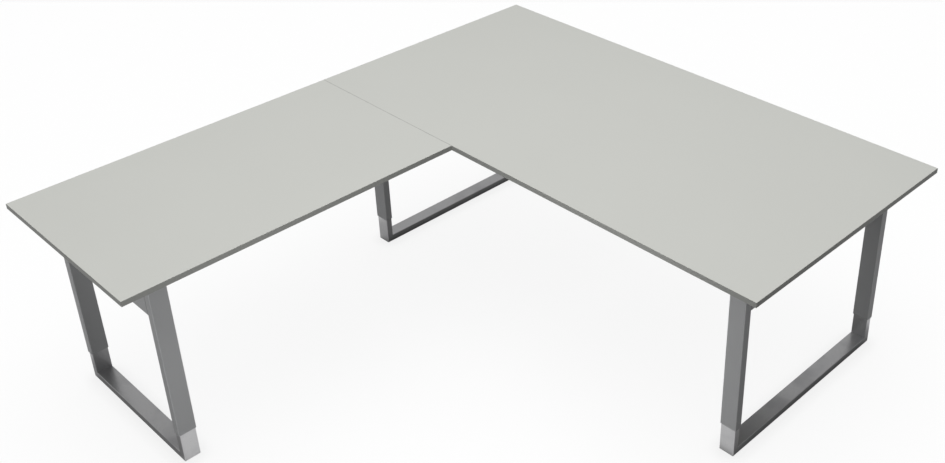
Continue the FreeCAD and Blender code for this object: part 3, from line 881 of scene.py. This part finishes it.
@dataclass
class Beams:
    """The four beams with their end plates, the tabs on them and the seam plates."""

    main: tuple[str, str] = ("main_front_beam", "main_rear_beam")
    side: tuple[str, str] = ("return_left_beam", "return_right_beam")
    seam_plates: tuple[str, str] = ("left_seam_plate", "right_seam_plate")
    half_width: float = 0.015
    end_plate: float = 0.005
    end_bead_length: float = 0.050
    tab_bead_length: float = 0.036
    main_tab_lines: Pair = (-0.35, 0.35)
    return_tab_line: float = -0.5
    bolt_offset: float = 0.026

    def dress(self) -> None:
        """Paint the beams and tabs silver, and leave the seam plates zinc."""
        dress(SILVER, *self.main, *self.side, "main_beam_tabs", "return_beam_tabs")
        dress(ZINC, *self.seam_plates)

    def plate_faces(self) -> Iterator[tuple[Axis, Axis, np.ndarray]]:
        """Go through the inner faces of the end plates.

        Returns:
            For each, where it faces, the direction across the beam, and its middle.
        """
        for out, across, names in (
            (Axis.PLUS_X, Axis.PLUS_Y, self.main),
            (Axis.PLUS_Y, Axis.PLUS_X, self.side),
        ):
            run = out.vector
            for name in names:
                line = middle_of(name) * (1 - run)
                yield out, across, line + (low_of(name) + self.end_plate) * run
                yield out.opposite, across, line + (high_of(name) - self.end_plate) * run

    def tabs(self) -> Iterator[tuple[Axis, np.ndarray]]:
        """Go through the tabs on the beams.

        Returns:
            For each, the direction across its beam, and the middle of its underside.
        """
        for name in self.main:
            for x in self.main_tab_lines:
                yield Axis.PLUS_Y, np.array([x, middle_of(name)[1], high_of(name)[2]])
        for name in self.side:
            yield Axis.PLUS_X, np.array([middle_of(name)[0], self.return_tab_line, high_of(name)[2]])

    def weld(self, bead: WeldBead) -> None:
        """Lay the beads between the tubes and their end plates, and under the tabs.

        Args:
            bead: the kind of weld.
        """
        shells = []
        for out, across, spot in self.plate_faces():
            for side in (across, across.opposite):
                corner = spot + side.vector * self.half_width
                shells.append(bead.run([corner], out, side, self.end_bead_length))
        for across, spot in self.tabs():
            for side in (across, across.opposite):
                corner = spot + side.vector * self.half_width
                shells.append(bead.run([corner], side, Axis.MINUS_Z, self.tab_bead_length))
        make_piece("beam_welds", shells, SILVER, TABLE_BODY)

    def bolt_seats(self) -> dict[Axis, list[np.ndarray]]:
        """Find the middles of the bolt heads' seats on the end plates.

        Returns:
            The points, by where the heads point.
        """
        seats: dict[Axis, list[np.ndarray]] = {}
        for out, across, spot in self.plate_faces():
            step = across.vector * self.bolt_offset
            seats.setdefault(out, []).extend([spot - step, spot + step])
        return seats


@dataclass
class Fixings:
    """The wood screws, the flanged bolts and the clamp screws."""

    screw_head_radius: float = 0.0045
    screw_head_height: float = 0.003
    screw_shank_radius: float = 0.002
    screw_length: float = 0.016
    screw_inset: float = 0.015
    screw_point: Pair = (0.3, 0.8)  # of the shank's radius and length
    screw_bevel: Pair = (0.96, 0.06)  # of the head's radius and height
    screw_wall_share: float = 0.5  # of the head's height
    screw_columns: int = 64
    dome_edge: float = 0.97  # of the head's radius
    dome_share: float = 0.45  # of the head's height
    dome_steps: tuple[float, ...] = (1.0, 0.88, 0.7, 0.45, 0.2, 0.0)
    recess_arm: float = 0.62  # of the head's radius
    recess_core: float = 0.17  # of the head's radius
    recess_taper: float = 0.55
    recess_levels: Pair = (0.3, 0.22)  # of the head's height
    tab_reach: float = 0.040
    bolt_width: float = 0.013
    bolt_head_height: float = 0.0053
    bolt_radius: float = 0.004
    bolt_length: float = 0.017
    bolt_point_share: float = 0.82  # of the bolt's radius
    bolt_point_length: float = 0.001
    bolt_chamfer: Pair = (0.0009, 0.0003)
    bolt_cone: Pair = (1.06, 0.97)  # of half the width
    bolt_dish_share: float = 0.55  # of half the width
    bolt_dish_depth: float = 0.0003
    bolt_columns: int = 60
    flange_radius: float = 0.0078
    flange_height: float = 0.0012
    flange_bevel_share: float = 0.97  # of the flange's radius
    flange_bevel_height: float = 0.0002
    flange_wall_share: float = 0.6  # of the flange's height
    neck_share: float = 0.99  # of the flange's radius
    neck_height: float = 0.0003
    clamp_radius: float = 0.004
    clamp_pitch: float = 0.00125
    clamp_thread_depth: float = 0.0006
    clamp_stand: float = 0.011
    clamp_reach: float = 0.0024
    clamp_threaded: float = 0.0045
    clamp_lead: float = 0.0004
    clamp_shoulder: float = 0.0002
    clamp_point_share: float = 0.7  # of the thread's core
    clamp_face_share: float = 0.98  # of the thread's core
    clamp_columns: int = 36
    clamp_rows: int = 30
    socket_width: float = 0.004
    socket_depth: float = 0.004
    socket_flare: float = 1.06
    socket_wall_share: float = 0.9  # of the socket's depth

    def dress(self) -> None:
        """Leave the hidden nuts zinc and paint the clamp bosses silver."""
        dress(ZINC, "beam_nuts")
        dress(SILVER, "clamp_bosses")

    def screw_shape(self) -> np.ndarray:
        """Shape a pan-head wood screw with its head along Z.

        The head is a shallow dome. Its cross recess is a four-armed outline that narrows to the
        recess floor, and the rows between the recess and the rim blend the two outlines.

        Returns:
            The points in rows, columns and coordinates, with the head's seat at the origin.
        """
        columns, length = self.screw_columns, self.screw_length
        rim, tall, shank = self.screw_head_radius, self.screw_head_height, self.screw_shank_radius
        recess = cross(rim * self.recess_arm, rim * self.recess_core, columns)
        dome = recess + (rim * self.dome_edge - recess) * column(*self.dome_steps)
        bulge = np.sqrt(np.clip(1 - (dome / rim) ** 2, 0, 1))
        point, taper = self.screw_point
        bevel_radius, bevel_height = self.screw_bevel
        radius = stack(
            columns, 0, shank * point, shank, shank, rim * bevel_radius, rim, rim, dome,
            recess * self.recess_taper, 0,
        )
        height = stack(
            columns, -length, -length, -length * taper, 0, 0, tall * bevel_height,
            tall * self.screw_wall_share, tall * (1 - self.dome_share + self.dome_share * bulge),
            *(tall * level for level in self.recess_levels),
        )
        return spin(radius, height, columns)

    def bolt_shape(self) -> np.ndarray:
        """Shape a flanged bolt with its head along Z: a hexagon whose rim a cone cuts, on a collar.

        Returns:
            The points in rows, columns and coordinates, with the head's seat at the origin.
        """
        columns, length, shank = self.bolt_columns, self.bolt_length, self.bolt_radius
        nut, half, tall = hexagon(self.bolt_width, columns), self.bolt_width / 2, self.bolt_head_height
        flange, low = self.flange_radius, self.flange_height
        radius = stack(
            columns, 0, shank * self.bolt_point_share, shank, shank, flange * self.flange_bevel_share,
            flange, flange, np.minimum(nut, flange * self.neck_share), nut, nut,
            *(np.minimum(nut, half * share) for share in self.bolt_cone),
            half * self.bolt_dish_share, 0,
        )
        height = column(
            -length, -length, self.bolt_point_length - length, 0, 0, self.flange_bevel_height,
            low * self.flange_wall_share, low, low + self.neck_height,
            *(tall - drop for drop in self.bolt_chamfer), tall, tall, tall - self.bolt_dish_depth,
        )
        return spin(radius, height, columns)

    def clamp_shape(self) -> np.ndarray:
        """Shape a set screw along Z: a plain foot, a thread and a hexagon socket.

        Returns:
            The points in rows, columns and coordinates, with the sleeve's wall at the origin.
        """
        columns, stand, depth = self.clamp_columns, self.clamp_stand, self.socket_depth
        start = stand - self.clamp_threaded
        rows = np.linspace(start, stand - self.clamp_lead, self.clamp_rows)[:, None]
        wall = thread(self.clamp_radius, self.clamp_thread_depth, self.clamp_pitch, rows, columns)
        socket = hexagon(self.socket_width, columns)
        core = self.clamp_radius - self.clamp_thread_depth
        radius = stack(
            columns, 0, core * self.clamp_point_share, core, core, wall,
            core * self.clamp_face_share, socket * self.socket_flare, socket, socket, 0,
        )
        height = stack(
            columns, -self.clamp_reach, -self.clamp_reach, 0, start - self.clamp_shoulder, rows,
            stand, stand, stand - self.clamp_lead,
            stand - depth * self.socket_wall_share, stand - depth,
        )
        return spin(radius, height, columns)

    def screw_seats(self, frames: Sequence[UpperFrame], beams: Beams) -> list[np.ndarray]:
        """Find where the wood screws' heads sit.

        Args:
            frames: the upper frames, with their mounting plates.
            beams: the beams, with their tabs and the seam plates.

        Returns:
            The points under the mounting plates, the tabs and the seam plates.
        """
        seats = []
        for upper in frames:
            for plate in upper.plates:
                reach = (half_of(plate) - self.screw_inset) * np.abs(upper.across.vector)
                seats += [under(plate) + reach, under(plate) - reach]
        for across, spot in beams.tabs():
            reach = across.vector * self.tab_reach
            seats += [spot - reach, spot + reach]
        for plate in beams.seam_plates:
            reach = half_of(plate) - self.screw_inset
            seats += [under(plate) + reach * (x, y, 0) for x in (-1, 1) for y in (-1, 1)]
        return seats

    def build(self, frames: Sequence[UpperFrame], beams: Beams) -> None:
        """Make the screws, the bolts and the clamp screws.

        Args:
            frames: the upper frames that they hold.
            beams: the beams that they hold.
        """
        screws = set_out(self.screw_shape(), self.screw_seats(frames, beams), Axis.MINUS_Z)
        make_piece("pan_head_screws", [screws], ZINC, TABLE_BODY, "top_screws")
        bolt, clamp = self.bolt_shape(), self.clamp_shape()
        bolts = [set_out(bolt, spots, axis) for axis, spots in beams.bolt_seats().items()]
        make_piece("flanged_bolts", bolts, ZINC, TABLE_BODY, "beam_bolts")
        clamps = [set_out(clamp, upper.clamp_spots(), upper.clamp_side) for upper in frames]
        make_piece("socket_set_screws", clamps, ZINC, TABLE_BODY, "clamp_screws")


@dataclass
class Lamp:
    """A square soft box, set by how bright it makes a white card that faces it."""

    name: str
    spot: Triple
    aim: Triple
    side: float
    level: float
    mirrored: bool = True

    def build(self) -> None:
        """Hang the lamp. Its power is the level times pi squared times the distance squared."""
        light = bpy.data.lights.new(self.name, "AREA")
        reach = Vector(self.aim) - Vector(self.spot)
        light.size = self.side
        light.energy = self.level * math.pi**2 * reach.length_squared
        lamp = bpy.data.objects.new(self.name, light)
        lamp.location = self.spot
        lamp.rotation_euler = reach.to_track_quat("-Z", "Y").to_euler()
        lamp.visible_camera = False
        lamp.visible_glossy = self.mirrored
        bpy.context.scene.collection.objects.link(lamp)


@dataclass(frozen=True)
class PaintedShadowPatch:
    """A rectangle of painted shadow on the floor, which metal mirrors dimmer than the rest."""

    low: Pair
    high: Pair
    share: float
    blur: float = 0.03

    def mask(self, across: Socket) -> Socket:
        """Mark the rectangle, with soft edges.

        Args:
            across: the place along X. Its node also gives the place along Y.

        Returns:
            The share inside the rectangle and 0 outside.
        """
        mask = self.share
        for place, low, high in zip((across, across.sibling("Y")), self.low, self.high):
            inner = place.above(low - self.blur, low + self.blur)
            outer = place.above(high - self.blur, high + self.blur)
            mask = mask * inner * (1 - outer)
        return mask


@dataclass
class Studio:
    """The camera, the lamps, the fill light and the pale floor."""

    camera_spot: Triple = (2.443, -2.118, 2.696)
    camera_pitch: float = 60.73
    camera_yaw: float = 43.53
    lens: float = 44.93
    shift: Pair = (-0.1150, -0.0983)
    lamps: tuple[Lamp, ...] = (
        Lamp("overhead_soft_box", (-0.1, 0.1, 7.0), (-0.1, 0.1, 0.7), 4.0, 0.82),
        Lamp("front_soft_box", (0.9, -10.0, 2.8), (0.0, 0.0, 0.4), 5.0, 0.09),
        Lamp("end_soft_box", (2.6, 1.3, 0.6), (0.88, 0.95, 0.4), 1.2, 0.09, mirrored=False),
        Lamp("return_soft_box", (-0.4, -2.8, 0.7), (-0.6, -1.1, 0.5), 1.0, 0.12, mirrored=False),
        Lamp("inner_card", (0.74, -0.76, 0.58), (-0.14, -0.28, 0.56), 0.55, 0.36, mirrored=False),
    )
    white: Colour = (1.0, 1.0, 1.0, 1.0)
    bright_side: Triple = (-0.85, 0.20, 0.48)
    fill_dim: float = 0.06
    fill_bright: float = 0.37
    fill_blur: float = 0.9
    horizon_blur: float = 0.02
    floor_side: float = 40.0
    floor_drop: float = 0.0004
    floor_colour: Colour = (0.17, 0.17, 0.17, 1.0)
    floor_glow: float = 0.82
    floor_veil: float = 0.14
    shade_reach: float = 1.0
    contact_reach: float = 0.05
    contact_power: int = 3
    mirror_glow: float = 0.46
    # Painted shadow on the floor as metal mirrors it: its level and its patches.
    mirror_painted_shadow: float = 0.25
    mirror_power: int = 2
    painted_shadow_patches: tuple[PaintedShadowPatch, ...] = (
        PaintedShadowPatch((-0.9, 0.2), (1.3, 1.08), 1.0),
        PaintedShadowPatch((-1.04, -1.4), (-0.2, -1.0), 1.0),
        PaintedShadowPatch((-1.0, -1.0), (-0.35, -0.5), 0.72),
        PaintedShadowPatch((-1.0, -0.5), (-0.35, 0.2), 0.5),
    )

    def build(self) -> None:
        """Set up the whole studio."""
        bpy.context.scene.view_settings.view_transform = "Standard"
        self.hang_camera()
        for lamp in self.lamps:
            lamp.build()
        self.fill_room()
        self.lay_floor()

    def hang_camera(self) -> None:
        """Put the camera where the desk was seen from."""
        data = bpy.data.cameras.new("camera")
        data.lens = self.lens
        data.shift_x, data.shift_y = self.shift
        camera = bpy.data.objects.new("camera", data)
        camera.location = self.camera_spot
        camera.rotation_euler = (math.radians(self.camera_pitch), 0.0, math.radians(self.camera_yaw))
        bpy.context.scene.collection.objects.link(camera)
        bpy.context.scene.camera = camera

    def fill_room(self) -> None:
        """Light the room from above the horizon, more on one side.

        The camera sees the room white. Below the horizon, where a sled set low can be, metal
        mirrors the same grey as the open floor.
        """
        world = bpy.data.worlds.new("room")
        world.use_nodes = True
        bpy.context.scene.world = world
        tree = NodeTree(world.node_tree)
        way = tree.add("ShaderNodeTexCoord", output="Generated")
        rise = tree.add("ShaderNodeSeparateXYZ", None, {"Vector": way}, "Z")
        above = rise.above(-self.horizon_blur, self.horizon_blur)
        settings = {"operation": "DOT_PRODUCT"}
        facing = tree.add("ShaderNodeVectorMath", settings, {0: way, 1: self.bright_side}, "Value")
        bright = facing.above(-self.fill_blur, self.fill_blur)
        fill = self.fill_dim + (self.fill_bright - self.fill_dim) * bright
        direct, mirrored = self.rays(tree)
        strength = direct + (1 - direct) * (above * fill + (1 - above) * mirrored * self.mirror_glow)
        sockets = {"Color": self.white, "Strength": strength}
        tree.finish("ShaderNodeOutputWorld", tree.add("ShaderNodeBackground", None, sockets))

    @staticmethod
    def rays(tree: NodeTree) -> tuple[Socket, Socket]:
        """Give two masks: of what the camera sees directly, and of what it sees in metal or glass."""
        direct = tree.add("ShaderNodeLightPath", output="Is Camera Ray")
        return direct, direct.sibling("Is Glossy Ray") + direct.sibling("Is Transmission Ray")

    def lay_floor(self) -> None:
        """Lay a pale floor that looks white in the light and keeps the desk's soft shadow.

        The camera sees the floor as a thin veil over the white below it, so that a sled set low
        still shows, and from below not at all. The floor glows less where the desk shades it.
        Metal mirrors the floor dimmer under the tops and beside the leg frames: a painted shadow.
        """
        half = self.floor_side / 2
        corners = [(-half, -half), (half, -half), (half, half), (-half, half)]
        mesh = bpy.data.meshes.new("floor")
        mesh.from_pydata([(x, y, -self.floor_drop) for x, y in corners], [], [(0, 1, 2, 3)])
        material = bpy.data.materials.new("pale_floor")
        material.use_nodes = True
        tree = NodeTree(material.node_tree)
        shade, contact = (
            tree.add("ShaderNodeAmbientOcclusion", None, {"Distance": reach}, "AO")
            for reach in (self.shade_reach, self.contact_reach)
        )
        board = tree.add("ShaderNodeBsdfDiffuse", None, {"Color": self.floor_colour})
        direct, mirrored = self.rays(tree)
        across = tree.add("ShaderNodeSeparateXYZ", None, {"Vector": tree.place()}, "X")
        # Painted shadow: metal sees the floor dimmer in these patches, darker still where the occlusion
        # shade falls.
        painted_shadow = sum(patch.mask(across) for patch in self.painted_shadow_patches)
        shaded = self.mirror_painted_shadow * painted_shadow * shade**self.mirror_power * contact
        mirror = self.mirror_glow * (1 - painted_shadow) + shaded
        strength = direct * self.floor_glow * shade * contact**self.contact_power + mirrored * mirror
        glow = tree.add("ShaderNodeEmission", None, {"Color": self.white, "Strength": strength})
        lit = tree.add("ShaderNodeAddShader", None, {0: board, 1: glow})
        below = tree.add("ShaderNodeNewGeometry", output="Backfacing")
        clear = direct * (1 - self.floor_veil * (1 - below)) + direct.sibling("Is Shadow Ray")
        sockets = {0: clear, 1: lit, 2: tree.add("ShaderNodeBsdfTransparent")}
        tree.finish("ShaderNodeOutputMaterial", tree.add("ShaderNodeMixShader", None, sockets))
        mesh.materials.append(material)
        floor = bpy.data.objects.new("floor", mesh)
        bpy.context.scene.collection.objects.link(floor)


def note_sizes() -> None:
    """Bring the scene's placements up to date."""
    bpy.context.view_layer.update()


def main() -> None:
    """Build the studio, dress the solids and add the detail pieces."""
    logging.basicConfig(level=logging.INFO, format="%(message)s")
    Studio().build()
    bead = WeldBead()
    frames = [
        UpperFrame("right", ("front", "rear"), Axis.PLUS_Y, Axis.PLUS_X, Axis.PLUS_Y),
        UpperFrame("middle", ("front", "rear"), Axis.PLUS_Y, Axis.PLUS_X, Axis.PLUS_Y),
        UpperFrame("return", ("left", "right"), Axis.PLUS_X, Axis.PLUS_Y, Axis.MINUS_X),
    ]
    Worktops().dress()
    for upper in frames:
        upper.dress()
        upper.weld(bead)
        sled = Sled(upper.name, upper.ends)
        sled.dress()
        sled.build()
    beams = Beams()
    beams.dress()
    beams.weld(bead)
    fixings = Fixings()
    fixings.dress()
    fixings.build(frames, beams)
    note_sizes()


if __name__ == "__main__":
    main()
